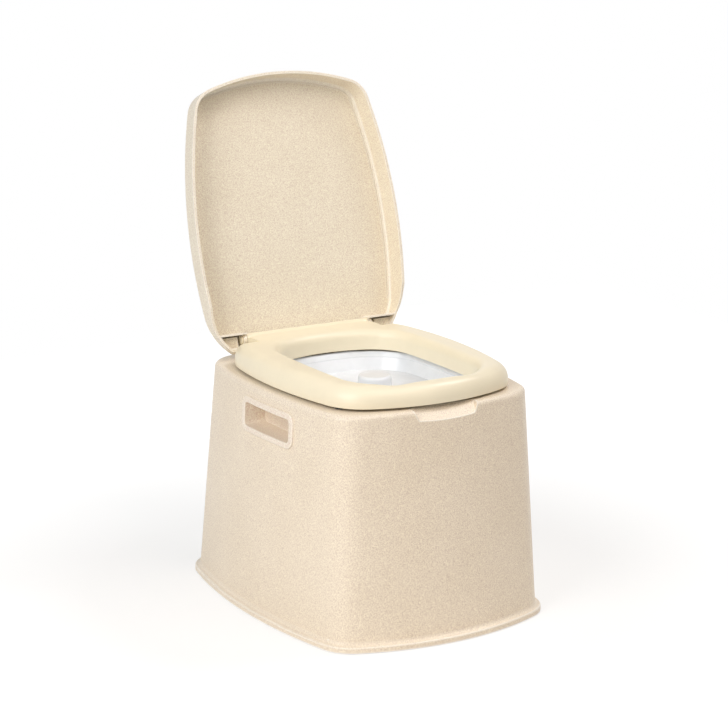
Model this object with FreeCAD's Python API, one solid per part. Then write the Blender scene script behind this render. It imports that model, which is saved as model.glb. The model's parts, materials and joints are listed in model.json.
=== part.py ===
import FreeCAD, Part
import math
import os
from collections import namedtuple

# Portable commode: a moulded body with a lift-up seat, a lid and a bucket with its own lid.
# Lengths are millimetres. +X is the user's left when seated, -Y is the front, +Z is up.
# Everything is drawn about the middle of the base and shifted to the final origin at the end.

# Body shell
DECK_HEIGHT = 336.0
DECK_HALF_WIDTH = 178.5
DECK_FRONT = 229.4
DECK_REAR = 213.9
DECK_SIDE_BOW = 895.0
DECK_END_BOW = 503.0
DECK_FRONT_CORNER = 52.0
DECK_REAR_CORNER = 60.0
DECK_EDGE_ROUND = 7.0
FLARE_SIDE = 18.5
FLARE_FRONT = 27.5
FLARE_REAR = 43.0
FOOT_SIDE_BOW = 868.0
FOOT_END_BOW = 380.0
FOOT_CORNER = 49.0
SHELL_WALL = 3.0
FLANGE_REACH = 8.0
FLANGE_HEIGHT = 8.5
FLANGE_FILLET = 5.0
FLANGE_EDGE_ROUND = 2.0

# Rubber feet in the corners of the base
FLOOR_GAP = 1.5
FOOT_PAD_MARGIN = 3.0
FOOT_PAD_RADIUS = 16.0
FOOT_PAD_HEIGHT = 4.0
FOOT_STEM_RADIUS = 4.0
FOOT_STEM_PLAY = 0.05
FOOT_HEAD_RADIUS = 6.5
FOOT_HEAD_HEIGHT = 2.5
CORNER_PLATE = 3.5
CORNER_PLATE_MARGIN = 8.0

# Finger scoop in the front edge of the deck
SCOOP_TOP_HALF_WIDTH = 53.0
SCOOP_FLOOR_HALF_WIDTH = 45.0
SCOOP_DROP = 17.0
SCOOP_REACH = 18.0
SCOOP_CORNER = 8.0

# Carrying grips
GRIP_LENGTH = 124.0
GRIP_HEIGHT = 34.0
GRIP_CORNER = 6.0
GRIP_CENTRE_Y = -31.5
GRIP_CENTRE_DROP = 43.5
GRIP_DEPTH = 30.0
GRIP_WALL = 2.5
GRIP_FRAME_WIDTH = 9.0
GRIP_FRAME_PROUD = 3.2
GRIP_FRAME_ROUND = 2.4
GRIP_MOUTH_ROUND = 1.6
GRIP_PLAY = 0.2

# Bucket well in the deck; the outline is the edge of the bucket lid's dish
WELL_SIDE_MARGIN = 54.5
WELL_FRONT_MARGIN = 46.4
WELL_REAR_MARGIN = 94.9
WELL_SIDE_BOW = 900.0
WELL_END_BOW = 350.0
WELL_CORNER = 85.0
LEDGE_DROP = 5.5
LEDGE_THICKNESS = 3.0

# Bucket, its handle and its lid
BUCKET_WALL = 2.2
BUCKET_DEPTH = 215.0
BUCKET_TAPER = 16.0
BUCKET_BOTTOM_ROUND = 18.0
BUCKET_FLANGE = 2.5
BUCKET_PLAY = 1.5
REST_GAP = 0.3
LID_DISH_WALL = 2.0
LID_DISH_PLAY = 1.2
LID_DISH_DROP = 26.0
LID_DISH_TAPER = 12.0
LID_DISH_LINE = 1.2
LID_DISH_LINE_DEPTH = 0.9
LID_DISH_LINE_DROP = 8.5
LID_RIM_REACH = 7.5
LID_RIM_THICKNESS = 2.5
KNOB_RADIUS = 25.0
KNOB_RISE = 3.5
KNOB_ROUND = 4.5
KNOB_WALL = 2.0
HANDLE_WIRE_RADIUS = 2.0
HANDLE_GRIP_RADIUS = 4.5
HANDLE_GRIP_HALF_LENGTH = 40.0
HANDLE_EAR_LENGTH = 12.0
HANDLE_EAR_THICKNESS = 3.0
HANDLE_BEND = 3.0
HANDLE_PLAY = 0.08
SIDE_PLAY = 1.0

# Seat
SEAT_GAP = 4.0
SEAT_THICKNESS = 30.0
SEAT_SIDE_MARGIN = 15.0
SEAT_FRONT_MARGIN = 8.7
SEAT_SIDE_BOW = 684.0
SEAT_FRONT_BOW = 285.0
SEAT_FRONT_CORNER = 70.0
SEAT_REAR_CORNER = 125.0
SEAT_WALL = 3.0
SEAT_OUTER_ROUND = 22.5
SEAT_INNER_ROUND = 12.5
HOLE_SIDE_MARGIN = 69.0
HOLE_FRONT_MARGIN = 40.9
HOLE_REAR_MARGIN = 95.6
HOLE_WIDEST_Y = -40.0
HOLE_SIDE_BOW = 1500.0
HOLE_FRONT_BOW = 700.0
HOLE_REAR_BOW = 187.0
HOLE_FRONT_CORNER = 62.0
HOLE_REAR_CORNER = 67.0
SEAT_RIB = 2.0
SEAT_RIB_DEPTH = 12.0
BUMPER_RADIUS = 6.0
BUMPER_STEM_RADIUS = 2.5
BUMPER_STEM = 9.0
BUMPER_PLAY = 0.05
BUMPER_BOSS_WALL = 2.5
BUMPER_EDGE_INSET = 29.0
BUMPER_FRONT_INSET = 60.7
BUMPER_REAR_INSET = 113.2

# Hinge shared by seat and lid
HINGE_RISE = 27.0
HINGE_SETBACK = 43.3
HINGE_SIDE_MARGIN = 72.5
KNUCKLE_RADIUS = 9.0
KNUCKLE_END = 6.0
LUG_RADIUS = 6.5
LUG_THICKNESS = 8.0
LUG_BEHIND_HINGE = 3.0
LUG_GAP = 1.0
PIN_RADIUS = 4.0
PIN_REACH = 28.0
PIN_PLAY = 0.06
PIN_PRESS_PLAY = 0.01
PIN_HEAD_RADIUS = 6.5
PIN_HEAD_THICKNESS = 3.0
PIN_HEAD_ROUND = 1.5
PIN_HEAD_GAP = 0.4
SEAT_HEEL_GAP = 7.0

# Lid
LID_OPEN_ANGLE = 105.3
LID_SIDE_MARGIN = 2.8
LID_FRONT_MARGIN = 2.5
LID_WIDEST_AHEAD_OF_HINGE = 148.0
LID_SIDE_BOW = 800.0
LID_FRONT_BOW = 390.0
LID_REAR_BOW = 840.0
LID_FRONT_CORNER = 42.0
LID_REAR_CORNER = 92.0
LID_REAR_BEHIND_HINGE = 43.0
LID_RIM_GAP = 2.0
LID_PANEL_GAP = 1.5
LID_PANEL = 3.0
LID_WALL = 4.0
LID_DRAFT = 4.0
LID_INNER_DRAFT = 2.0
LID_EDGE_ROUND = 8.0
LID_INNER_ROUND = 4.0
LID_GROOVE = 2.2
LID_GROOVE_DEPTH = 1.0
LID_GROOVE_END = 25.0
LID_HEEL_GAP = 7.0
LID_EAR = 5.0
LID_EAR_RADIUS = 9.0
LID_NOTCH_AHEAD = 8.0
LID_RIB = 2.5
LID_POCKET_LIP = 12.0
LID_POCKET_RUN = 45.0
LID_POCKET_FLOOR = 2.0
LID_POCKET_SLOT = 8.0
LID_POCKET_SLIT = 2.5

# Room for cutters to reach past the faces they cut, and how near counts as touching
PAST = 1.0
TOUCHING = 0.01

V = FreeCAD.Vector
X_AXIS = V(1, 0, 0)

# A plan outline of bowed sides joined by round corners, front at -front and rear at +rear
Outline = namedtuple(
    "Outline",
    "half_width front rear side_bow front_bow rear_bow front_corner rear_corner widest",
)

# Heights and places worked out from the sizes above
FLANGE_TOP = FLOOR_GAP + FLANGE_HEIGHT
SEAT_BOTTOM = DECK_HEIGHT + SEAT_GAP
SEAT_TOP = SEAT_BOTTOM + SEAT_THICKNESS
HINGE_Y = DECK_REAR - HINGE_SETBACK
HINGE_Z = DECK_HEIGHT + HINGE_RISE
HINGE = V(0, HINGE_Y, HINGE_Z)
LEDGE_TOP = DECK_HEIGHT - LEDGE_DROP
BUCKET_FLANGE_TOP = LEDGE_TOP + REST_GAP + BUCKET_FLANGE
LID_RIM_BOTTOM = BUCKET_FLANGE_TOP + REST_GAP
LID_RIM_TOP = LID_RIM_BOTTOM + LID_RIM_THICKNESS
HANDLE_Z = BUCKET_FLANGE_TOP + REST_GAP + HANDLE_GRIP_RADIUS

# Steps outward from the dish's edge to each piece around it
BUCKET_INNER_STEP = LID_DISH_WALL + LID_DISH_PLAY
BUCKET_OUTER_STEP = BUCKET_INNER_STEP + BUCKET_WALL
OPENING_STEP = BUCKET_OUTER_STEP + BUCKET_PLAY
EAR_STEP = LID_RIM_REACH + SIDE_PLAY
HANDLE_STEP = EAR_STEP + HANDLE_EAR_THICKNESS + SIDE_PLAY + HANDLE_WIRE_RADIUS
FLANGE_STEP = HANDLE_STEP + HANDLE_WIRE_RADIUS + SIDE_PLAY
REBATE_STEP = FLANGE_STEP + BUCKET_PLAY

# Stations along the hinge, outward from the middle
TONGUE_HALF_WIDTH = DECK_HALF_WIDTH - HINGE_SIDE_MARGIN
LUG_OUTER = TONGUE_HALF_WIDTH - KNUCKLE_END - LUG_GAP
LUG_INNER = LUG_OUTER - LUG_THICKNESS
EAR_INNER = TONGUE_HALF_WIDTH + LUG_GAP
EAR_OUTER = EAR_INNER + LID_EAR
HEEL_RADIUS = HINGE_RISE - LID_HEEL_GAP
LID_PANEL_OFFSET = KNUCKLE_RADIUS + LID_PANEL_GAP
LID_BACK_OFFSET = LID_PANEL_OFFSET + LID_PANEL


def bowed(half_width, front, rear, side_bow, end_bow, corner):
    """Outline with the same bow and corner at both ends, widest midway."""
    return Outline(half_width, front, rear, side_bow, end_bow, end_bow, corner, corner, (rear - front) / 2)


def grown(outline, step):
    """The outline offset outward by step, or inward where step is negative."""
    return Outline(
        outline.half_width + step,
        outline.front + step,
        outline.rear + step,
        outline.side_bow + step,
        outline.front_bow + step,
        outline.rear_bow + step,
        outline.front_corner + step,
        outline.rear_corner + step,
        outline.widest,
    )


DECK = Outline(
    DECK_HALF_WIDTH,
    DECK_FRONT,
    DECK_REAR,
    DECK_SIDE_BOW,
    DECK_END_BOW,
    DECK_END_BOW,
    DECK_FRONT_CORNER,
    DECK_REAR_CORNER,
    (DECK_REAR - DECK_FRONT) / 2,
)
WALL_FOOT = bowed(
    DECK_HALF_WIDTH + FLARE_SIDE,
    DECK_FRONT + FLARE_FRONT,
    DECK_REAR + FLARE_REAR,
    FOOT_SIDE_BOW,
    FOOT_END_BOW,
    FOOT_CORNER,
)
FLANGE = grown(WALL_FOOT, FLANGE_REACH)
WELL = bowed(
    DECK_HALF_WIDTH - WELL_SIDE_MARGIN,
    DECK_FRONT - WELL_FRONT_MARGIN,
    DECK_REAR - WELL_REAR_MARGIN,
    WELL_SIDE_BOW,
    WELL_END_BOW,
    WELL_CORNER,
)
SEAT = Outline(
    DECK_HALF_WIDTH - SEAT_SIDE_MARGIN,
    DECK_FRONT - SEAT_FRONT_MARGIN,
    DECK_REAR - SEAT_FRONT_MARGIN,
    SEAT_SIDE_BOW,
    SEAT_FRONT_BOW,
    SEAT_FRONT_BOW,
    SEAT_FRONT_CORNER,
    SEAT_REAR_CORNER,
    (DECK_REAR - DECK_FRONT) / 2,
)
HOLE = Outline(
    DECK_HALF_WIDTH - HOLE_SIDE_MARGIN,
    DECK_FRONT - HOLE_FRONT_MARGIN,
    DECK_REAR - HOLE_REAR_MARGIN,
    HOLE_SIDE_BOW,
    HOLE_FRONT_BOW,
    HOLE_REAR_BOW,
    HOLE_FRONT_CORNER,
    HOLE_REAR_CORNER,
    HOLE_WIDEST_Y,
)
LID = Outline(
    DECK_HALF_WIDTH - LID_SIDE_MARGIN,
    DECK_FRONT - LID_FRONT_MARGIN,
    HINGE_Y + LID_REAR_BEHIND_HINGE,
    LID_SIDE_BOW,
    LID_FRONT_BOW,
    LID_REAR_BOW,
    LID_FRONT_CORNER,
    LID_REAR_CORNER,
    HINGE_Y - LID_WIDEST_AHEAD_OF_HINGE,
)


def corner_centre(outline, sign):
    """Centre of the right-hand corner arc at the front (sign -1) or the rear (sign +1)."""
    reach = outline.rear if sign > 0 else outline.front
    bow = outline.rear_bow if sign > 0 else outline.front_bow
    radius = outline.rear_corner if sign > 0 else outline.front_corner
    side = V(outline.half_width - outline.side_bow, outline.widest, 0)
    end = V(0, sign * (reach - bow), 0)
    side_reach = outline.side_bow - radius
    end_reach = bow - radius
    span = end - side
    along = (side_reach**2 - end_reach**2 + span.Length**2) / (2 * span.Length)
    across = math.sqrt(side_reach**2 - along**2)
    unit = V(span).normalize()
    turn = V(-unit.y, unit.x, 0) * (sign * across)
    options = (side + unit * along + turn, side + unit * along - turn)
    centre = max(options, key=lambda point: point.x + sign * point.y)
    return centre, side, end, radius, bow


def tangent(centre, through, radius):
    """Point at radius from centre, on the line from centre through another point."""
    return centre + V(through - centre).normalize() * radius


def mirrored(point):
    return V(-point.x, point.y, point.z)


def outline_points(outline):
    """The right half's tangent points and arc middles, from the front middle to the rear middle."""
    front, side, front_end, front_radius, front_bow = corner_centre(outline, -1)
    rear, side, rear_end, rear_radius, rear_bow = corner_centre(outline, 1)
    front_tip = tangent(front_end, front, front_bow)
    side_front = tangent(side, front, outline.side_bow)
    side_rear = tangent(side, rear, outline.side_bow)
    rear_tip = tangent(rear_end, rear, rear_bow)
    front_bend = tangent(front, (front_tip + side_front) * 0.5, front_radius)
    rear_bend = tangent(rear, (rear_tip + side_rear) * 0.5, rear_radius)
    side_middle = tangent(side, (side_front + side_rear) * 0.5, outline.side_bow)
    return front_tip, front_bend, side_front, side_middle, side_rear, rear_bend, rear_tip


def outline_wire(outline, z):
    """Closed wire of eight tangent arcs at height z."""
    front_tip, front_bend, side_front, side_middle, side_rear, rear_bend, rear_tip = outline_points(outline)
    stations = [
        (front_tip, front_bend, side_front),
        (side_front, side_middle, side_rear),
        (side_rear, rear_bend, rear_tip),
        (rear_tip, V(0, outline.rear, 0), mirrored(rear_tip)),
        (mirrored(rear_tip), mirrored(rear_bend), mirrored(side_rear)),
        (mirrored(side_rear), mirrored(side_middle), mirrored(side_front)),
        (mirrored(side_front), mirrored(front_bend), mirrored(front_tip)),
        (mirrored(front_tip), V(0, -outline.front, 0), front_tip),
    ]
    lift = V(0, 0, z)
    return Part.Wire([Part.Arc(a + lift, b + lift, c + lift).toShape() for a, b, c in stations])


def prism(outline, low, high):
    return Part.Face(outline_wire(outline, low)).extrude(V(0, 0, high - low))


def taper(low_outline, low, high_outline, high):
    return Part.makeLoft([outline_wire(low_outline, low), outline_wire(high_outline, high)], True, True)


def box(x0, x1, y0, y1, z0, z1):
    return Part.makeBox(x1 - x0, y1 - y0, z1 - z0, V(x0, y0, z0))


def rod(radius, x0, x1, y, z):
    """Cylinder along X."""
    return Part.makeCylinder(radius, x1 - x0, V(x0, y, z), X_AXIS)


def post(radius, x, y, z0, z1):
    """Cylinder along Z."""
    return Part.makeCylinder(radius, z1 - z0, V(x, y, z0))


def flat_edges(shape, z, inside=None):
    """Edges that lie in the plane at height z, and within the box inside where one is given."""
    found = []
    for edge in shape.Edges:
        bounds = edge.BoundBox
        level = abs(bounds.ZMin - z) < TOUCHING and abs(bounds.ZMax - z) < TOUCHING
        if level and (inside is None or inside.isInside(bounds)):
            found.append(edge)
    return found


def plan_bounds(outline, margin):
    """Bounding box that holds the outline, with a margin, at any height."""
    grow = grown(outline, margin)
    return FreeCAD.BoundBox(-grow.half_width, -grow.front, -PAST, grow.half_width, grow.rear, 2 * SEAT_TOP)


def wall_block(step):
    """The body's flared walls as a solid, offset outward by step."""
    return taper(grown(WALL_FOOT, step), FLANGE_TOP, grown(DECK, step), DECK_HEIGHT)


def on_both_sides(shape):
    return [shape, shape.mirror(V(0, 0, 0), X_AXIS)]


def rounded_slot(length, height, corner, x0, x1, y, z):
    """Rounded rectangle in the side view, extruded along X."""
    bar = box(x0, x1, y - length / 2, y + length / 2, z - height / 2, z + height / 2)
    long_edges = [edge for edge in bar.Edges if edge.BoundBox.XLength > TOUCHING]
    return bar.makeFillet(corner, long_edges)


# Finger scoop

def scoop_block(step):
    """The scoop's hollow, or with step the hollow and that much wall round it."""
    floor = DECK_HEIGHT - SCOOP_DROP - step
    top = DECK_HEIGHT + PAST
    lean = (SCOOP_TOP_HALF_WIDTH - SCOOP_FLOOR_HALF_WIDTH) / SCOOP_DROP
    low_half = SCOOP_FLOOR_HALF_WIDTH + step
    high_half = low_half + lean * (top - floor)
    rear = -DECK_FRONT + SCOOP_REACH + step
    front = -DECK_FRONT - FLARE_FRONT
    opening = [V(-high_half, 0, top), V(-low_half, 0, floor), V(low_half, 0, floor), V(high_half, 0, top)]
    block = Part.Face(Part.makePolygon(opening + opening[:1])).extrude(V(0, rear - front, 0))
    floor_edges = [edge for edge in flat_edges(block, floor) if edge.BoundBox.XLength < TOUCHING]
    block = block.makeFillet(SCOOP_CORNER + step, floor_edges)
    block.translate(V(0, front, 0))
    slope = SCOOP_DROP / (SCOOP_REACH + FLARE_FRONT * SCOOP_DROP / DECK_HEIGHT)
    ramp_rise = slope * (rear - front)
    ramp_foot = DECK_HEIGHT - ramp_rise - step * math.sqrt(1 + slope**2) + slope * step
    above = top + PAST
    ramp = [V(0, front, ramp_foot), V(0, rear, ramp_foot + ramp_rise), V(0, rear, above), V(0, front, above)]
    wedge = Part.Face(Part.makePolygon(ramp + ramp[:1])).extrude(V(2 * high_half, 0, 0))
    wedge.translate(V(-high_half, 0, 0))
    return block.common(wedge)


# Body shell

def grip_place():
    """Side-view centre of the grips."""
    return GRIP_CENTRE_Y, DECK_HEIGHT - GRIP_CENTRE_DROP


def grip_slot(step, depth_step):
    """Rounded bar through the left wall: the grip's opening grown by step, ending depth_step further in."""
    y, z = grip_place()
    inner = -(DECK_HALF_WIDTH - GRIP_DEPTH - depth_step)
    outer = -(DECK_HALF_WIDTH + FLARE_SIDE + 2 * GRIP_FRAME_PROUD)
    length = GRIP_LENGTH + 2 * step
    height = GRIP_HEIGHT + 2 * step
    return rounded_slot(length, height, GRIP_CORNER + step, outer, inner, y, z)


def foot_places():
    """Middles of the rubber feet, inward from the middle of each corner's arc."""
    front_bend, rear_bend = outline_points(FLANGE)[1:6:4]
    inset = SHELL_WALL + FOOT_PAD_MARGIN + FOOT_PAD_RADIUS
    places = {}
    for end, bend, sign in (("front", front_bend, -1), ("rear", rear_bend, 1)):
        foot = tangent(bend, corner_centre(FLANGE, sign)[0], inset)
        places[end + "_left"] = (-foot.x, foot.y)
        places[end + "_right"] = (foot.x, foot.y)
    return places


def corner_plates():
    """Plates across the base corners that hold the rubber feet."""
    low = FOOT_PAD_HEIGHT
    high = low + CORNER_PLATE
    inside = prism(grown(FLANGE, -SHELL_WALL / 2), low, high)
    margin = FOOT_PAD_RADIUS + CORNER_PLATE_MARGIN
    plates = []
    for x, y in foot_places().values():
        x0 = x - margin if x > 0 else -FLANGE.half_width
        x1 = FLANGE.half_width if x > 0 else x + margin
        y0 = y - margin if y > 0 else -FLANGE.front
        y1 = FLANGE.rear if y > 0 else y + margin
        plate = inside.common(box(x0, x1, y0, y1, low, high))
        plates.append(plate.cut(post(FOOT_STEM_RADIUS + FOOT_STEM_PLAY, x, y, low - PAST, high + PAST)))
    return plates


def hinge_lug():
    """Right-hand lug on the deck that stands under the seat's tongue and holds the hinge pin."""
    low = DECK_HEIGHT - SHELL_WALL
    upright = box(LUG_INNER, LUG_OUTER, HINGE_Y - LUG_RADIUS, HINGE_Y + LUG_BEHIND_HINGE, low, HINGE_Z)
    upright = upright.fuse(rod(LUG_RADIUS, LUG_INNER, LUG_OUTER, HINGE_Y, HINGE_Z)).removeSplitter()
    return upright.cut(rod(PIN_RADIUS + PIN_PRESS_PLAY, LUG_INNER - PAST, LUG_OUTER + PAST, HINGE_Y, HINGE_Z))


def body_shell():
    walls = wall_block(0)
    walls = walls.makeFillet(DECK_EDGE_ROUND, flat_edges(walls, DECK_HEIGHT))
    flange = prism(FLANGE, FLOOR_GAP, FLANGE_TOP)
    flange = flange.makeFillet(FLANGE_EDGE_ROUND, flat_edges(flange, FLANGE_TOP))
    shell = walls.fuse(flange)
    shell = shell.makeFillet(FLANGE_FILLET, flat_edges(shell, FLANGE_TOP, plan_bounds(WALL_FOOT, PAST)))
    room = wall_block(-SHELL_WALL).cut(prism(FLANGE, DECK_HEIGHT - SHELL_WALL, DECK_HEIGHT + PAST))
    room = room.fuse(prism(grown(WALL_FOOT, -SHELL_WALL), 0, FLANGE_TOP))
    shell = shell.cut(room)
    shell = shell.cut(prism(grown(FLANGE, -SHELL_WALL), 0, FLANGE_TOP - SHELL_WALL))
    well_floor = LEDGE_TOP - LEDGE_THICKNESS
    shell = shell.fuse(prism(grown(WELL, REBATE_STEP + SHELL_WALL), well_floor, DECK_HEIGHT - SHELL_WALL / 2))
    shell = shell.cut(prism(grown(WELL, REBATE_STEP), LEDGE_TOP, DECK_HEIGHT + PAST))
    shell = shell.cut(prism(grown(WELL, OPENING_STEP), well_floor - PAST, LEDGE_TOP + PAST))
    tray = scoop_block(SHELL_WALL).common(walls)
    shell = shell.fuse(tray).cut(scoop_block(0))
    for window in on_both_sides(grip_slot(GRIP_WALL + GRIP_PLAY, GRIP_WALL + PAST)):
        shell = shell.cut(window)
    for lug in on_both_sides(hinge_lug()):
        shell = shell.fuse(lug)
    for plate in corner_plates():
        shell = shell.fuse(plate)
    return shell.removeSplitter()


def left_grip_cup():
    """Pocket with a raised frame that lies on the bowed wall."""
    skin = wall_block(GRIP_FRAME_PROUD)
    frame = skin.common(grip_slot(GRIP_FRAME_WIDTH, 0)).cut(wall_block(REST_GAP / 2))
    below_rim = wall_block(GRIP_FRAME_PROUD - REST_GAP)
    rim = [edge for edge in frame.Edges if lies_outside(edge, below_rim)]
    frame = frame.makeFillet(GRIP_FRAME_ROUND, rim)
    pocket = grip_slot(GRIP_WALL, GRIP_WALL).common(skin)
    cup = frame.fuse(pocket).cut(grip_slot(0, 0)).removeSplitter()
    opening = grip_slot(TOUCHING, 0).BoundBox
    mouth = [edge for edge in cup.Edges if opening.isInside(edge.BoundBox) and lies_outside(edge, below_rim)]
    return cup.makeFillet(GRIP_MOUTH_ROUND, mouth)


def lies_outside(edge, solid):
    """True for an edge whose ends and middle are all outside the solid."""
    middle = edge.valueAt((edge.FirstParameter + edge.LastParameter) / 2)
    ends = [vertex.Point for vertex in edge.Vertexes]
    return not any(solid.isInside(point, TOUCHING, True) for point in ends + [middle])


def rubber_foot(x, y):
    """Pad on the floor with a stem and a head snapped through the corner plate."""
    plate_top = FOOT_PAD_HEIGHT + CORNER_PLATE
    foot = post(FOOT_PAD_RADIUS, x, y, 0, FOOT_PAD_HEIGHT)
    foot = foot.makeFillet(FOOT_PAD_HEIGHT / 3, flat_edges(foot, FOOT_PAD_HEIGHT))
    foot = foot.fuse(post(FOOT_STEM_RADIUS, x, y, FOOT_PAD_HEIGHT - PAST, plate_top + PAST))
    return foot.fuse(post(FOOT_HEAD_RADIUS, x, y, plate_top, plate_top + FOOT_HEAD_HEIGHT)).removeSplitter()


# Seat

def ring(outline, hole, low, high, outer_round, inner_round):
    """Ring with rounded top edges between an outline and a hole."""
    block = prism(outline, low, high)
    block = block.makeFillet(outer_round, flat_edges(block, high))
    block = block.cut(prism(hole, low - PAST, high + PAST))
    return block.makeFillet(inner_round, flat_edges(block, high, plan_bounds(hole, PAST)))


def behind_seat(step):
    """What is cut from the back of the seat, so that the lid's heel and the lugs pass."""
    heel = HINGE_Y - HEEL_RADIUS - SEAT_HEEL_GAP - step
    far = DECK_REAR + HINGE_SETBACK
    wide = DECK_HALF_WIDTH
    low = SEAT_BOTTOM - PAST
    high = SEAT_TOP + PAST
    inner = TONGUE_HALF_WIDTH - step
    radius = SEAT_OUTER_ROUND - step
    round_y = heel - radius
    round_z = SEAT_TOP - step - radius
    edge = box(inner, wide, round_y, heel, round_z, high).cut(rod(radius, inner, wide, round_y, round_z))
    side = box(inner, wide, heel, far, low, high).fuse(edge)
    tail = box(-wide, wide, HINGE_Y - step * (KNUCKLE_RADIUS + SEAT_WALL) / SEAT_WALL, far, low, high)
    return tail.multiFuse(on_both_sides(side))


def bumper_places():
    places = {}
    x = SEAT.half_width - BUMPER_EDGE_INSET
    for name, y in (("front", BUMPER_FRONT_INSET - SEAT.front), ("rear", SEAT.rear - BUMPER_REAR_INSET)):
        places[name + "_left"] = (-x, y)
        places[name + "_right"] = (x, y)
    return places


def seat_ribs(room):
    """Straight stiffening ribs across the hollow underside."""
    low = SEAT_TOP - SEAT_WALL - SEAT_RIB_DEPTH
    ribs = []
    for y in (HOLE.rear / 2, WELL.widest, WELL.widest - HOLE.rear / 2):
        ribs.append(box(-SEAT.half_width, SEAT.half_width, y - SEAT_RIB / 2, y + SEAT_RIB / 2, low, SEAT_TOP))
    for x in (-HOLE.half_width / 2, 0, HOLE.half_width / 2):
        ribs.append(box(x - SEAT_RIB / 2, x + SEAT_RIB / 2, -SEAT.front, HINGE_Y, low, SEAT_TOP))
    return [room.common(rib) for rib in ribs]


def lug_slot():
    """Room for the right-hand lug in the seat's knuckle, open below and behind for the seat to swing up."""
    x0 = LUG_INNER - LUG_GAP
    x1 = LUG_OUTER + LUG_GAP
    radius = LUG_RADIUS + LUG_GAP
    far = HINGE_Y + KNUCKLE_RADIUS + PAST
    low = SEAT_BOTTOM - PAST
    core = rod(radius, x0, x1, HINGE_Y, HINGE_Z)
    below = box(x0, x1, HINGE_Y - radius, far, low, HINGE_Z)
    behind = box(x0, x1, HINGE_Y, far, low, HINGE_Z + radius)
    return core.multiFuse([below, behind])


def seat():
    shape = ring(SEAT, HOLE, SEAT_BOTTOM, SEAT_TOP, SEAT_OUTER_ROUND, SEAT_INNER_ROUND)
    shape = shape.cut(behind_seat(0))
    knuckle = rod(KNUCKLE_RADIUS, -TONGUE_HALF_WIDTH, TONGUE_HALF_WIDTH, HINGE_Y, HINGE_Z)
    room = ring(
        grown(SEAT, -SEAT_WALL),
        grown(HOLE, SEAT_WALL),
        SEAT_BOTTOM - PAST,
        SEAT_TOP - SEAT_WALL,
        SEAT_OUTER_ROUND - SEAT_WALL,
        SEAT_INNER_ROUND - SEAT_WALL,
    )
    room = room.cut(behind_seat(SEAT_WALL))
    ribs = seat_ribs(room)
    bosses = []
    for x, y in bumper_places().values():
        boss = post(BUMPER_STEM_RADIUS + BUMPER_BOSS_WALL, x, y, SEAT_BOTTOM, SEAT_TOP)
        bosses.append(room.common(boss))
    shape = shape.cut(room)
    tail = box(-TONGUE_HALF_WIDTH, TONGUE_HALF_WIDTH, HINGE_Y - KNUCKLE_RADIUS - SEAT_WALL, HINGE_Y + PAST,
               SEAT_BOTTOM - PAST, HINGE_Z - KNUCKLE_RADIUS)
    shape = shape.cut(tail).multiFuse(ribs + bosses + [knuckle]).removeSplitter()
    for slot in on_both_sides(lug_slot()):
        shape = shape.cut(slot)
    for x, y in bumper_places().values():
        stem_top = SEAT_BOTTOM + BUMPER_STEM
        shape = shape.cut(post(BUMPER_STEM_RADIUS + BUMPER_PLAY, x, y, SEAT_BOTTOM - PAST, stem_top))
    inner = TONGUE_HALF_WIDTH - PIN_REACH - PAST
    for bore in on_both_sides(rod(PIN_RADIUS + PIN_PLAY, inner, TONGUE_HALF_WIDTH + PAST, HINGE_Y, HINGE_Z)):
        shape = shape.cut(bore)
    return shape


def seat_bumper(x, y):
    """Rubber stud under the seat that stands on the deck."""
    stud = post(BUMPER_RADIUS, x, y, DECK_HEIGHT + REST_GAP, SEAT_BOTTOM)
    stem = post(BUMPER_STEM_RADIUS, x, y, SEAT_BOTTOM - PAST, SEAT_BOTTOM + BUMPER_STEM)
    return stud.fuse(stem).removeSplitter()


# Lid, drawn closed and then turned open about the hinge

def heel_trim(radius):
    """Everything ahead of the hinge, and a round heel about it."""
    low = DECK_HEIGHT - PAST
    high = HINGE_Z + 2 * HINGE_RISE
    wide = DECK_HALF_WIDTH + FLARE_SIDE
    ahead = box(-wide, wide, -DECK_FRONT - FLARE_FRONT, HINGE_Y, low, high)
    return ahead.fuse(rod(radius, -wide, wide, HINGE_Y, HINGE_Z))


def lid_heel_mouth(rim, lip, rib_y):
    """What is cut from the rim near the hinge: it runs up from the rim to the pockets' lip."""
    start = rib_y - LID_POCKET_RUN
    end = LID.rear + PAST
    below = rim - PAST
    profile = [V(0, start, below), V(0, start, rim), V(0, rib_y, lip), V(0, end, lip), V(0, end, below)]
    mouth = Part.Face(Part.makePolygon(profile + profile[:1])).extrude(V(2 * LID.half_width, 0, 0))
    mouth.translate(V(-LID.half_width, 0, 0))
    return mouth


def lid_groove(panel, end):
    """Shallow groove in the panel along the foot of the wall, round the front from side to side."""
    outer = grown(LID, -LID_WALL - LID_INNER_DRAFT - LID_INNER_ROUND)
    floor = panel + LID_GROOVE_DEPTH
    groove = prism(outer, panel - PAST, floor)
    groove = groove.cut(prism(grown(outer, -LID_GROOVE), panel - 2 * PAST, floor + PAST))
    return groove.common(box(-LID.half_width, LID.half_width, -LID.front, end, panel - PAST, floor))


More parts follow.
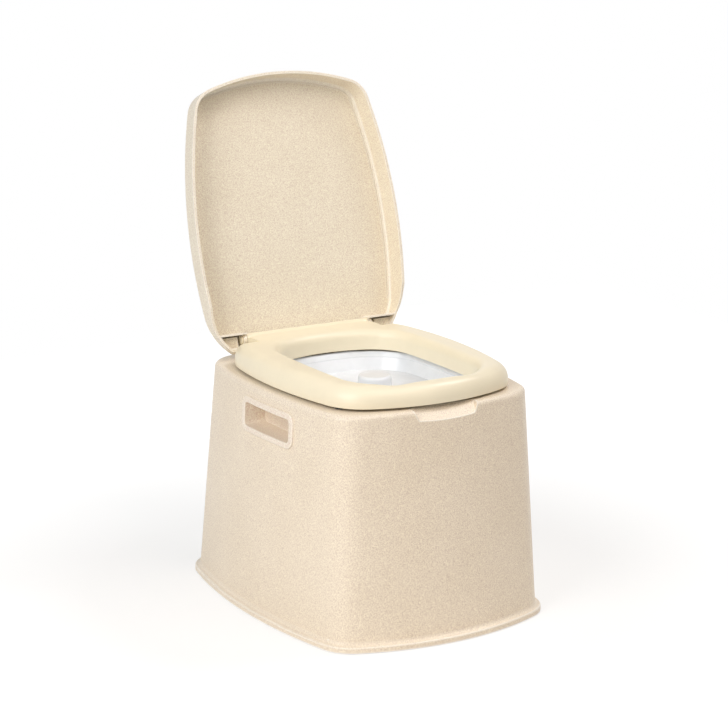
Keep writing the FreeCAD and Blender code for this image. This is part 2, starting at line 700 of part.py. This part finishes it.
def closed_lid():
    rim = DECK_HEIGHT + LID_RIM_GAP
    under = HINGE_Z + LID_PANEL_OFFSET
    top = HINGE_Z + LID_BACK_OFFSET
    outer = taper(LID, rim, grown(LID, -LID_DRAFT), top)
    outer = outer.makeFillet(LID_EDGE_ROUND, flat_edges(outer, top))
    outer = outer.common(heel_trim(HEEL_RADIUS))
    hollow = taper(grown(LID, -LID_WALL), rim - PAST, grown(LID, -LID_WALL - LID_INNER_DRAFT), under)
    hollow = hollow.makeFillet(LID_INNER_ROUND, flat_edges(hollow, under))
    hollow = hollow.common(heel_trim(HEEL_RADIUS - LID_WALL))
    shape = outer.cut(hollow)
    notch_y = HINGE_Y - LID_NOTCH_AHEAD
    notch = box(-EAR_INNER, EAR_INNER, notch_y, HINGE_Y + 2 * HINGE_RISE, rim - PAST, top + PAST)
    shape = shape.cut(notch)
    shape = shape.cut(lid_groove(under, notch_y - LID_RIB - LID_GROOVE_END))
    lip = HINGE_Z - LID_POCKET_LIP
    shape = shape.cut(lid_heel_mouth(rim, lip, notch_y - LID_RIB))
    swing = rod(HEEL_RADIUS, EAR_INNER, LID.half_width, HINGE_Y, HINGE_Z).common(outer)
    ear = box(EAR_INNER, EAR_OUTER, HINGE_Y - LID_EAR_RADIUS, HINGE_Y + LID_EAR_RADIUS, HINGE_Z, top)
    ear = swing.common(ear.fuse(rod(LID_EAR_RADIUS, EAR_INNER, EAR_OUTER, HINGE_Y, HINGE_Z)))
    rib = swing.common(box(EAR_INNER, LID.half_width, notch_y - LID_RIB, notch_y, lip, top))
    floor_z = HINGE_Z - LID_POCKET_FLOOR
    floor_y = notch_y + LID_POCKET_SLIT
    floor = box(EAR_OUTER + LID_POCKET_SLOT, LID.half_width, floor_y, LID.rear, floor_z, floor_z + LID_RIB)
    extras = on_both_sides(ear) + on_both_sides(rib) + on_both_sides(swing.common(floor))
    shape = shape.multiFuse(extras).removeSplitter()
    bore = rod(PIN_RADIUS + PIN_PLAY, EAR_INNER - PAST, EAR_OUTER + PAST, HINGE_Y, HINGE_Z)
    for hole in on_both_sides(bore):
        shape = shape.cut(hole)
    return shape


def lid():
    shape = closed_lid()
    shape.rotate(HINGE, X_AXIS, -LID_OPEN_ANGLE)
    return shape


def right_hinge_pin():
    """Pin through lid ear and body lug into the seat's knuckle."""
    head = EAR_OUTER + PIN_HEAD_GAP
    pin = rod(PIN_RADIUS, TONGUE_HALF_WIDTH - PIN_REACH, head + PAST, HINGE_Y, HINGE_Z)
    cap = rod(PIN_HEAD_RADIUS, head, head + PIN_HEAD_THICKNESS, HINGE_Y, HINGE_Z)
    outer = [edge for edge in cap.Edges if edge.BoundBox.XMin > head + PIN_HEAD_THICKNESS / 2]
    return pin.fuse(cap.makeFillet(PIN_HEAD_ROUND, outer)).removeSplitter()


# Bucket

def bucket():
    floor = BUCKET_FLANGE_TOP - BUCKET_DEPTH
    outside = grown(WELL, BUCKET_OUTER_STEP)
    outer = taper(grown(outside, -BUCKET_TAPER), floor, outside, BUCKET_FLANGE_TOP)
    outer = outer.makeFillet(BUCKET_BOTTOM_ROUND, flat_edges(outer, floor))
    inside = grown(WELL, BUCKET_INNER_STEP)
    inner_floor = floor + BUCKET_WALL
    hollow = taper(grown(inside, -BUCKET_TAPER), inner_floor, inside, BUCKET_FLANGE_TOP)
    hollow = hollow.makeFillet(BUCKET_BOTTOM_ROUND - BUCKET_WALL, flat_edges(hollow, inner_floor))
    flange_bottom = BUCKET_FLANGE_TOP - BUCKET_FLANGE
    flange = prism(grown(WELL, FLANGE_STEP), flange_bottom, BUCKET_FLANGE_TOP)
    shape = outer.fuse(flange).cut(hollow)
    return shape.multiFuse(on_both_sides(handle_ear(flange_bottom))).removeSplitter()


def handle_ear(low):
    """Right-hand ear that rises from the bucket's flange and holds an end of the handle."""
    inner = WELL.half_width + EAR_STEP
    outer = inner + HANDLE_EAR_THICKNESS
    half = HANDLE_EAR_LENGTH / 2
    upright = box(inner, outer, WELL.widest - half, WELL.widest + half, low, HANDLE_Z)
    top = rod(half, inner, outer, WELL.widest, HANDLE_Z)
    top = top.common(box(inner, outer, -WELL.front, WELL.rear, low, HANDLE_Z + half))
    bore = rod(HANDLE_WIRE_RADIUS + HANDLE_PLAY, inner - PAST, outer + PAST, WELL.widest, HANDLE_Z)
    return upright.fuse(top).removeSplitter().cut(bore)


def handle_path():
    """Route of the handle: out through one ear, round the front of the rim and in through the other."""
    front_tip, front_bend, side_front, side_middle = outline_points(grown(WELL, HANDLE_STEP))[:4]
    front = V(0, -WELL.front - HANDLE_STEP, 0)
    inner = V(WELL.half_width + EAR_STEP, WELL.widest, 0)
    bend_in = V(side_middle.x - HANDLE_BEND, WELL.widest, 0)
    bend_out = V(side_middle.x, WELL.widest - HANDLE_BEND, 0)
    bend_centre = V(bend_in.x, bend_out.y, 0)
    bend = tangent(bend_centre, V(bend_out.x, bend_in.y, 0), HANDLE_BEND)
    lift = V(0, 0, HANDLE_Z)
    half = [
        Part.LineSegment(inner + lift, bend_in + lift),
        Part.Arc(bend_in + lift, bend + lift, bend_out + lift),
        Part.LineSegment(bend_out + lift, side_front + lift),
        Part.Arc(side_front + lift, front_bend + lift, front_tip + lift),
    ]
    edges = [curve.toShape() for curve in half]
    other = [edge.mirror(V(0, 0, 0), X_AXIS) for edge in edges]
    bow = Part.Arc(front_tip + lift, front + lift, mirrored(front_tip) + lift).toShape()
    return Part.Wire(Part.__sortEdges__(edges + [bow] + other))


def swept(path, radius, start, direction):
    """Round bar along a wire."""
    section = Part.Wire([Part.Circle(start, direction, radius).toShape()])
    return path.makePipeShell([section], True, False)


def bucket_handle():
    start = V(WELL.half_width + EAR_STEP, WELL.widest, HANDLE_Z)
    return swept(handle_path(), HANDLE_WIRE_RADIUS, start, X_AXIS)


def bucket_handle_grip():
    """Sleeve on the middle of the handle's front stretch."""
    bow = WELL.front_bow + HANDLE_STEP
    centre = V(0, WELL.front_bow - WELL.front, HANDLE_Z)
    half_turn = HANDLE_GRIP_HALF_LENGTH / bow
    start = centre + V(bow * math.sin(half_turn), -bow * math.cos(half_turn), 0)
    middle = centre - V(0, bow, 0)
    direction = V(-math.cos(half_turn), -math.sin(half_turn), 0)
    path = Part.Wire([Part.Arc(start, middle, mirrored(start)).toShape()])
    sleeve = swept(path, HANDLE_GRIP_RADIUS, start, direction)
    return sleeve.cut(swept(path, HANDLE_WIRE_RADIUS + HANDLE_PLAY, start, direction))


def bucket_lid():
    floor = LID_RIM_TOP - LID_DISH_DROP
    under = floor - LID_DISH_WALL
    dish = taper(grown(WELL, LID_DISH_WALL - LID_DISH_TAPER), under, grown(WELL, LID_DISH_WALL), LID_RIM_TOP)
    rim = prism(grown(WELL, LID_RIM_REACH), LID_RIM_BOTTOM, LID_RIM_TOP)
    rim = rim.makeFillet(LID_RIM_THICKNESS / 3, flat_edges(rim, LID_RIM_TOP))
    hollow = taper(grown(WELL, -LID_DISH_TAPER), floor, WELL, LID_RIM_TOP)
    shape = dish.fuse(rim).cut(hollow)
    line_z = LID_RIM_TOP - LID_DISH_LINE_DROP
    wall_step = -LID_DISH_TAPER * LID_DISH_LINE_DROP / LID_DISH_DROP
    line = grown(WELL, wall_step + LID_DISH_LINE_DEPTH)
    shape = shape.cut(prism(line, line_z, line_z + LID_DISH_LINE))
    knob_top = LID_RIM_TOP + KNOB_RISE
    knob = post(KNOB_RADIUS, 0, WELL.widest, under, knob_top)
    knob = knob.makeFillet(KNOB_ROUND, flat_edges(knob, knob_top))
    shape = shape.fuse(knob).removeSplitter()
    return shape.cut(post(KNOB_RADIUS - KNOB_WALL, 0, WELL.widest, under - PAST, knob_top - KNOB_ROUND))


# Assembly

def rear_reach():
    """How far the tip of the opened lid reaches behind the middle of the base."""
    lean = math.radians(LID_OPEN_ANGLE - 90)
    along = HINGE_Y + LID.front - LID_DRAFT - LID_EDGE_ROUND
    behind = LID_BACK_OFFSET - LID_EDGE_ROUND
    return HINGE_Y + along * math.sin(lean) + behind * math.cos(lean) + LID_EDGE_ROUND


def pieces():
    made = {"body_shell": body_shell(), "seat": seat(), "lid": lid()}
    for side, shape in zip(("left", "right"), on_both_sides(left_grip_cup())):
        made[side + "_grip_cup"] = shape
    for side, shape in zip(("right", "left"), on_both_sides(right_hinge_pin())):
        made[side + "_hinge_pin"] = shape
    for corner, (x, y) in foot_places().items():
        made[corner + "_foot"] = rubber_foot(x, y)
    for corner, (x, y) in bumper_places().items():
        made[corner + "_seat_bumper"] = seat_bumper(x, y)
    made["bucket"] = bucket()
    made["bucket_handle"] = bucket_handle()
    made["bucket_handle_grip"] = bucket_handle_grip()
    made["bucket_lid"] = bucket_lid()
    return made


def main():
    os.makedirs("parts", exist_ok=True)
    shift = V(0, (FLANGE.front - max(rear_reach(), FLANGE.rear)) / 2, 0)
    for name, shape in pieces().items():
        shape.translate(shift)
        shape.exportStep("parts/" + name + ".step")
        volume = round(shape.Volume / 1000, 2)
        print(name, "solids", len(shape.Solids), "valid", shape.isValid(), "cm3", volume)
    print("hinge axis y, z:", round(HINGE_Y + shift.y, 3), round(HINGE_Z, 3))
    print("base middle y:", round(shift.y, 3))


main()
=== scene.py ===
import json
import math

import bpy
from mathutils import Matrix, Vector


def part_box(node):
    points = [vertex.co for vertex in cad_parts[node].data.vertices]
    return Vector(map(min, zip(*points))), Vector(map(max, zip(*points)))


# Looks of the portable commode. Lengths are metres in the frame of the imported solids.
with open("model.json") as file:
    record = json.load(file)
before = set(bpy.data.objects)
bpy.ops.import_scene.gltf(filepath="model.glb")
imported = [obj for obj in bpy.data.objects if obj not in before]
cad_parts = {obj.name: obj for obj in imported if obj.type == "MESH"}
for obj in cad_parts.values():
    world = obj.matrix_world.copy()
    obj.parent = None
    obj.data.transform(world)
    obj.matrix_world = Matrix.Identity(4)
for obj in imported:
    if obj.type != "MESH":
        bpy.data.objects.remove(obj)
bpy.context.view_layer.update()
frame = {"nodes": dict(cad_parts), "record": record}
scene = bpy.context.scene

# Camera, as the photograph was taken: angles in degrees, lens and sensor in millimetres
CAMERA_AZIMUTH = -30.8
CAMERA_ELEVATION = 14.0
CAMERA_DISTANCE = 3.4862
CAMERA_AIM_X = 0.0006
CAMERA_AIM_Z = 0.3482
CAMERA_LENS = 117.12
CAMERA_SENSOR = 36.0

# Colours as screen values of red, green and blue
SCREEN_MAX = 255
BODY_COLOUR = (247, 228, 207)
# Grip cups: the body plastic painted paler, as painted light that lifts the shade in their recesses
GRIP_PAINTED_LIGHT_COLOUR = (255, 232, 215)
LID_COLOUR = (250, 233, 213)
# Painted highlight: the near-white colour laid along sharp edges
EDGE_HIGHLIGHT_COLOUR = (255, 250, 240)
SEAT_COLOUR = (249, 239, 212)
WHITE_COLOUR = (243, 247, 252)
STEEL_COLOUR = (196, 197, 199)
RUBBER_COLOUR = (62, 60, 58)
GRIP_CUPS = ("left_grip_cup", "right_grip_cup")

# Shares of each finish's colour where its noise is low and where it is high
GRAIN_SHADES = (0.9, 1.07)
SEAT_SHADES = (0.985, 1.005)
WHITE_SHADES = (0.975, 1.01)
STEEL_SHADES = (0.9, 1.06)
RUBBER_SHADES = (0.8, 1.2)

# Roughness of each finish where its noise is low and where it is high
GRAIN_ROUGHNESS = (0.3, 0.44)
SEAT_ROUGHNESS = (0.3, 0.38)
WHITE_ROUGHNESS = (0.16, 0.26)
STEEL_ROUGHNESS = (0.24, 0.4)
RUBBER_ROUGHNESS = (0.7, 0.9)

# Strength and depth of each finish's bumps
GRAIN_BUMP = (0.6, 0.0002)
SEAT_BUMP = (0.12, 0.00004)
WHITE_BUMP = (0.08, 0.00003)
STEEL_BUMP = (0.1, 0.00003)
RUBBER_BUMP = (0.2, 0.0001)

# Size of the spots in each noise, and the values between which most of a noise lies
GRAIN_SIZE = 0.0016
CLOUD_SIZE = 0.12
FLOW_SIZE = 0.05
SEAT_SKIN_SIZE = 0.002
SWIRL_SIZE = 0.03
WHITE_SKIN_SIZE = 0.0012
DRAWN_SIZE = 0.0006
BLOOM_SIZE = 0.004
NOISE_LOW = 0.3
NOISE_HIGH = 0.7

# Tints that the clouds lay over the grained plastic
CLOUD_DARK = (250, 249, 247)
CLOUD_PALE = (255, 255, 255)

# Painted highlights along sharp edges: their widths, and the cosine of the turn in the surface that makes
# them fully pale
BODY_EDGE_HIGHLIGHT_WIDTH = 0.003
GRIP_EDGE_HIGHLIGHT_WIDTH = 0.0014
EDGE_TURN = 0.97
EDGE_SAMPLES = 4

# Sockets of a mix node that carry its factor, its two colours and the result
MIX_FACTOR = 0
MIX_FIRST = 6
MIX_SECOND = 7
MIX_RESULT = 2

# Studio light: each soft box's place and width in metres, power in watts and colour on screen
SOFT_BOXES = {
    "key_light": ((-2.4, -0.8, 2.0), 1.8, 47.0, (255, 255, 255)),
    "high_front_light": ((0.5, -1.75, 3.05), 2.0, 37.0, (255, 240, 228)),
    "low_left_light": ((-2.4, -1.2, 0.6), 1.0, 9.0, (255, 244, 236)),
    "edge_light": ((1.8, -0.5, 2.9), 0.8, 22.0, (255, 255, 255)),
}
LIGHT_AIM = (0.0, 0.0, 0.35)

# Background: weak as light on the object, white where it is seen
WORLD_STRENGTH = 0.18
SEEN_STRENGTH = 1.0
PURE_WHITE = (1, 1, 1, 1)

# Floor: it glows white where it is seen, but only in part near the object, so that the shadow stays
FLOOR_COLOUR = (244, 243, 241)
FLOOR_ROUGHNESS = 0.9
FLOOR_REACH = 1.6
FLOOR_GLOW = 1.17
FLOOR_GLOW_SHARE = 0.57
FLOOR_FADE_START = 0.4
FLOOR_FADE_END = 1.1


def linear(colour):
    """Screen colour as scene-linear RGBA, by the sRGB curve."""
    channels = []
    for value in colour:
        share = value / SCREEN_MAX
        channels.append(share / 12.92 if share <= 0.04045 else ((share + 0.055) / 1.055) ** 2.4)
    return (*channels, 1.0)


def scaled(colour, factor):
    """Screen colour made darker or paler, with white as the limit."""
    return tuple(min(SCREEN_MAX, value * factor) for value in colour)


class Nodes:
    """A material's node tree with short calls for adding and joining nodes."""

    def __init__(self, name):
        self.material = bpy.data.materials.new(name)
        self.material.use_nodes = True
        self.tree = self.material.node_tree
        self.shader = self.tree.nodes["Principled BSDF"]
        self.place = self.add("ShaderNodeTexCoord").outputs["Object"]

    def add(self, kind, **settings):
        node = self.tree.nodes.new(kind)
        for key, value in settings.items():
            setattr(node, key, value)
        return node

    def join(self, output, socket):
        self.tree.links.new(output, socket)

    def noise(self, size, detail=2.0, roughness=0.5):
        """Noise whose spots are about size metres across."""
        node = self.add("ShaderNodeTexNoise")
        node.inputs["Scale"].default_value = 1 / size
        node.inputs["Detail"].default_value = detail
        node.inputs["Roughness"].default_value = roughness
        self.join(self.place, node.inputs["Vector"])
        return node.outputs["Fac"]

    def ramp(self, noise, low, high):
        """Screen colours from low to high as the noise rises."""
        node = self.add("ShaderNodeValToRGB")
        node.color_ramp.elements[0].position = NOISE_LOW
        node.color_ramp.elements[0].color = linear(low)
        node.color_ramp.elements[1].position = NOISE_HIGH
        node.color_ramp.elements[1].color = linear(high)
        self.join(noise, node.inputs["Fac"])
        return node.outputs["Color"]

    def shades(self, noise, colour, shares):
        """Shades of a screen colour between two shares of it."""
        low, high = shares
        return self.ramp(noise, scaled(colour, low), scaled(colour, high))

    def spread(self, noise, limits):
        """Values from the first limit to the second as the noise rises."""
        node = self.add("ShaderNodeMapRange")
        node.inputs["From Min"].default_value = NOISE_LOW
        node.inputs["From Max"].default_value = NOISE_HIGH
        node.inputs["To Min"].default_value = limits[0]
        node.inputs["To Max"].default_value = limits[1]
        self.join(noise, node.inputs["Value"])
        return node.outputs["Result"]

    def mix(self, factor, first, second, blend="MIX"):
        """Two colours mixed by a factor; each may be a value or another node's output."""
        node = self.add("ShaderNodeMix", data_type="RGBA", blend_type=blend)
        for value, index in ((factor, MIX_FACTOR), (first, MIX_FIRST), (second, MIX_SECOND)):
            if isinstance(value, bpy.types.NodeSocket):
                self.join(value, node.inputs[index])
            else:
                node.inputs[index].default_value = value
        return node.outputs[MIX_RESULT]

    def edges(self, width):
        """One along sharp edges and nought on flat faces: where the painted edge highlight goes."""
        bevel = self.add("ShaderNodeBevel", samples=EDGE_SAMPLES)
        bevel.inputs["Radius"].default_value = width
        plain = self.add("ShaderNodeNewGeometry").outputs["Normal"]
        dot = self.add("ShaderNodeVectorMath", operation="DOT_PRODUCT")
        self.join(bevel.outputs["Normal"], dot.inputs[0])
        self.join(plain, dot.inputs[1])
        span = self.add("ShaderNodeMapRange")
        span.inputs["From Min"].default_value = 1.0
        span.inputs["From Max"].default_value = EDGE_TURN
        self.join(dot.outputs["Value"], span.inputs["Value"])
        return span.outputs["Result"]

    def colour(self, output):
        self.join(output, self.shader.inputs["Base Color"])

    def roughness(self, output):
        self.join(output, self.shader.inputs["Roughness"])

    def bump(self, height, strength_and_depth):
        """Raise the surface by a noise."""
        node = self.add("ShaderNodeBump")
        node.inputs["Strength"].default_value = strength_and_depth[0]
        node.inputs["Distance"].default_value = strength_and_depth[1]
        self.join(height, node.inputs["Height"])
        self.join(node.outputs["Normal"], self.shader.inputs["Normal"])


def grained_plastic(name, colour, highlight_width):
    """Beige moulding with a fine sand grain and a painted highlight along its sharp edges."""
    nodes = Nodes(name)
    grain = nodes.noise(GRAIN_SIZE, detail=1.0, roughness=0.6)
    cloud = nodes.noise(CLOUD_SIZE)
    speckle = nodes.shades(grain, colour, GRAIN_SHADES)
    tint = nodes.ramp(cloud, CLOUD_DARK, CLOUD_PALE)
    toned = nodes.mix(1.0, speckle, tint, "MULTIPLY")
    # Painted highlight: sharp edges mixed towards a near-white colour
    nodes.colour(nodes.mix(nodes.edges(highlight_width), toned, linear(EDGE_HIGHLIGHT_COLOUR)))
    nodes.roughness(nodes.spread(grain, GRAIN_ROUGHNESS))
    nodes.bump(grain, GRAIN_BUMP)
    return nodes.material


def ivory_plastic():
    """Smooth satin seat moulding with faint flow marks."""
    nodes = Nodes("ivory_plastic")
    flow = nodes.noise(FLOW_SIZE, detail=4.0, roughness=0.6)
    nodes.colour(nodes.shades(flow, SEAT_COLOUR, SEAT_SHADES))
    nodes.roughness(nodes.spread(flow, SEAT_ROUGHNESS))
    nodes.bump(nodes.noise(SEAT_SKIN_SIZE), SEAT_BUMP)
    return nodes.material


def white_plastic():
    """Glossy white moulding with faint swirls and a fine skin."""
    nodes = Nodes("white_plastic")
    swirl = nodes.noise(SWIRL_SIZE, detail=5.0, roughness=0.6)
    nodes.colour(nodes.shades(swirl, WHITE_COLOUR, WHITE_SHADES))
    nodes.roughness(nodes.spread(swirl, WHITE_ROUGHNESS))
    nodes.bump(nodes.noise(WHITE_SKIN_SIZE), WHITE_BUMP)
    return nodes.material


def wire_steel():
    """Drawn steel wire."""
    nodes = Nodes("wire_steel")
    drawn = nodes.noise(DRAWN_SIZE, detail=3.0)
    nodes.shader.inputs["Metallic"].default_value = 1.0
    nodes.colour(nodes.shades(drawn, STEEL_COLOUR, STEEL_SHADES))
    nodes.roughness(nodes.spread(drawn, STEEL_ROUGHNESS))
    nodes.bump(drawn, STEEL_BUMP)
    return nodes.material


def rubber():
    """Dark matte rubber with a dusty bloom."""
    nodes = Nodes("rubber")
    bloom = nodes.noise(BLOOM_SIZE, detail=4.0)
    nodes.colour(nodes.shades(bloom, RUBBER_COLOUR, RUBBER_SHADES))
    nodes.roughness(nodes.spread(bloom, RUBBER_ROUGHNESS))
    nodes.bump(bloom, RUBBER_BUMP)
    return nodes.material


def dress_solids():
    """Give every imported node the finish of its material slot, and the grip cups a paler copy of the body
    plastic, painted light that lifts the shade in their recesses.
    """
    finishes = {
        "body_plastic": grained_plastic("body_plastic", BODY_COLOUR, BODY_EDGE_HIGHLIGHT_WIDTH),
        "lid_plastic": grained_plastic("lid_plastic", LID_COLOUR, BODY_EDGE_HIGHLIGHT_WIDTH),
        "seat_plastic": ivory_plastic(),
        "white_plastic": white_plastic(),
        "handle_wire": wire_steel(),
        "rubber": rubber(),
    }
    # Painted light: the grip cups get a paler copy of the body plastic, which lifts the shade in their
    # recesses
    grip_painted_light_finish = grained_plastic("grip_plastic_painted_light", GRIP_PAINTED_LIGHT_COLOUR, GRIP_EDGE_HIGHLIGHT_WIDTH)
    for subpart in frame["record"]["subparts"]:
        finish = grip_painted_light_finish if subpart["node"] in GRIP_CUPS else finishes[subpart["material_slot"]]
        for slot in frame["nodes"][subpart["node"]].material_slots:
            slot.material = finish


def base_middle():
    """Middle of the body's footprint on the floor."""
    low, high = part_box("body_shell")
    return Vector(((low.x + high.x) / 2, (low.y + high.y) / 2, 0))


def make_camera():
    azimuth = math.radians(CAMERA_AZIMUTH)
    elevation = math.radians(CAMERA_ELEVATION)
    back = Vector((
        math.sin(azimuth) * math.cos(elevation),
        -math.cos(azimuth) * math.cos(elevation),
        math.sin(elevation),
    ))
    aim = base_middle() + Vector((CAMERA_AIM_X, 0, CAMERA_AIM_Z))
    data = bpy.data.cameras.new("camera")
    data.sensor_width = CAMERA_SENSOR
    data.lens = CAMERA_LENS
    camera = bpy.data.objects.new("camera", data)
    camera.location = aim + back * CAMERA_DISTANCE
    camera.rotation_euler = back.to_track_quat("Z", "Y").to_euler()
    scene.collection.objects.link(camera)
    scene.camera = camera


def make_lights():
    for name, (place, width, power, colour) in SOFT_BOXES.items():
        data = bpy.data.lights.new(name, "AREA")
        data.size = width
        data.energy = power
        data.color = linear(colour)[:3]
        light = bpy.data.objects.new(name, data)
        light.location = place
        light.rotation_euler = (Vector(place) - Vector(LIGHT_AIM)).to_track_quat("Z", "Y").to_euler()
        scene.collection.objects.link(light)


def seen_directly(tree):
    """One for rays from the camera, mirrors and glass, nought for light on the object."""
    path = tree.nodes.new("ShaderNodeLightPath")
    total = path.outputs["Is Camera Ray"]
    for name in ("Is Glossy Ray", "Is Transmission Ray"):
        either = tree.nodes.new("ShaderNodeMath")
        either.operation = "MAXIMUM"
        tree.links.new(total, either.inputs[0])
        tree.links.new(path.outputs[name], either.inputs[1])
        total = either.outputs["Value"]
    return total


def blend_shaders(tree, share, plain, seen, surface):
    """Lead the shader plain to a surface where share is nought, and the shader seen where it is one."""
    mix = tree.nodes.new("ShaderNodeMixShader")
    tree.links.new(share, mix.inputs["Fac"])
    tree.links.new(plain, mix.inputs[1])
    tree.links.new(seen, mix.inputs[2])
    tree.links.new(mix.outputs["Shader"], surface)


def make_world():
    world = bpy.data.worlds.new("studio")
    scene.world = world
    world.use_nodes = True
    tree = world.node_tree
    soft = tree.nodes["Background"]
    soft.inputs["Color"].default_value = PURE_WHITE
    soft.inputs["Strength"].default_value = WORLD_STRENGTH
    white = tree.nodes.new("ShaderNodeBackground")
    white.inputs["Color"].default_value = PURE_WHITE
    white.inputs["Strength"].default_value = SEEN_STRENGTH
    surface = tree.nodes["World Output"].inputs["Surface"]
    blend_shaders(tree, seen_directly(tree), soft.outputs["Background"], white.outputs["Background"], surface)


def glow_share(tree):
    """Share of the glow on the floor, which grows with the distance from the object."""
    place = tree.nodes.new("ShaderNodeNewGeometry").outputs["Position"]
    distance = tree.nodes.new("ShaderNodeVectorMath")
    distance.operation = "LENGTH"
    tree.links.new(place, distance.inputs[0])
    fade = tree.nodes.new("ShaderNodeMapRange")
    fade.inputs["From Min"].default_value = FLOOR_FADE_START
    fade.inputs["From Max"].default_value = FLOOR_FADE_END
    fade.inputs["To Min"].default_value = FLOOR_GLOW_SHARE
    fade.inputs["To Max"].default_value = 1.0
    tree.links.new(distance.outputs["Value"], fade.inputs["Value"])
    share = tree.nodes.new("ShaderNodeMath")
    share.operation = "MULTIPLY"
    tree.links.new(seen_directly(tree), share.inputs[0])
    tree.links.new(fade.outputs["Result"], share.inputs[1])
    return share.outputs["Value"]


def floor_finish():
    """Pale floor that shows white round the object's shadow."""
    material = bpy.data.materials.new("floor")
    material.use_nodes = True
    tree = material.node_tree
    plain = tree.nodes["Principled BSDF"]
    plain.inputs["Base Color"].default_value = linear(FLOOR_COLOUR)
    plain.inputs["Roughness"].default_value = FLOOR_ROUGHNESS
    glow = tree.nodes.new("ShaderNodeEmission")
    glow.inputs["Color"].default_value = PURE_WHITE
    glow.inputs["Strength"].default_value = FLOOR_GLOW
    surface = tree.nodes["Material Output"].inputs["Surface"]
    blend_shaders(tree, glow_share(tree), plain.outputs["BSDF"], glow.outputs["Emission"], surface)
    return material


def make_floor():
    mesh = bpy.data.meshes.new("floor")
    signs = ((-1, -1), (1, -1), (1, 1), (-1, 1))
    mesh.from_pydata([(FLOOR_REACH * x, FLOOR_REACH * y, 0) for x, y in signs], [], [(0, 1, 2, 3)])
    mesh.materials.append(floor_finish())
    floor = bpy.data.objects.new("floor", mesh)
    scene.collection.objects.link(floor)


scene.view_settings.view_transform = "Standard"
dress_solids()
make_camera()
make_world()
make_lights()
make_floor()
